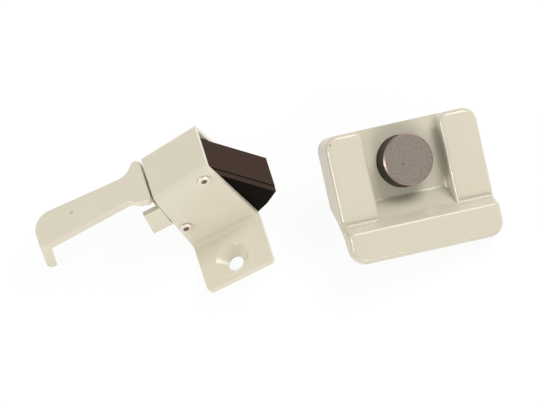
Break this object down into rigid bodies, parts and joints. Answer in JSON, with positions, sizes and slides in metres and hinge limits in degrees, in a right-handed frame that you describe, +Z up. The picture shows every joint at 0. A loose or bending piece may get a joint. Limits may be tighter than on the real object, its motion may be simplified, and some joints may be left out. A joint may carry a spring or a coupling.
{
  "type": "screen door latch",
  "caption": "Push-button latch set for a screen door: inside bracket with lever, wedge bolt and lock tab, and outside pull with a round push button.",
  "frame": {"origin": "centre of the laid-out set on the table, at table height", "axes": "+X to the right across the layout, from inside latch to outside pull; +Y away from the viewer; +Z up from the table"},
  "size_m": [0.1216, 0.0498, 0.0313],
  "materials": {
    "enamel": "gloss",
    "enamel_casting": "gloss",
    "brown_plastic": "satin",
    "turned_steel": "turned",
    "rivet_steel": "plated",
    "spring_steel": "drawn wire",
    "brass_bush": "turned"
  },
  "bodies": {
    "housing": {"mounting_bracket": "enamel", "bolt_rivet": "rivet_steel", "lock_rivet": "rivet_steel", "tab_washer": "rivet_steel", "bolt_spring": "spring_steel", "handle_body": "enamel_casting", "guide_bush": "brass_bush", "button_spring": "spring_steel"},
    "bolt": {"wedge_bolt": "brown_plastic", "lever_handle": "enamel", "lever_rivets": "rivet_steel"},
    "tab": {"lock_tab": "enamel"},
    "button": {"push_button": "turned_steel", "push_rod": "turned_steel", "retaining_ring": "spring_steel"}
  },
  "joints": [
    {"name": "bolt_swing", "type": "hinge", "parent": "housing", "child": "bolt", "pos_m": [-0.01879, 0.0045, 0.02492], "axis": [-0.2431, 0.9285, -0.2808], "range_deg": [0, 17], "stiffness_Nm_per_rad": 0.5, "springref_deg": -28.65, "deforming": ["bolt_spring"]},
    {"name": "lock_swing", "type": "hinge", "parent": "housing", "child": "tab", "pos_m": [-0.02221, -0.00659, 0.00919], "axis": [0.2431, -0.9285, 0.2808], "range_deg": [0, 75]},
    {"name": "button_slide", "type": "slide", "parent": "housing", "child": "button", "axis": [-0.3032, 0.2854, -0.9092], "range_m": [0, 0.0042], "stiffness_N_per_m": 400, "springref_m": -0.002, "deforming": ["button_spring"]}
  ]
}
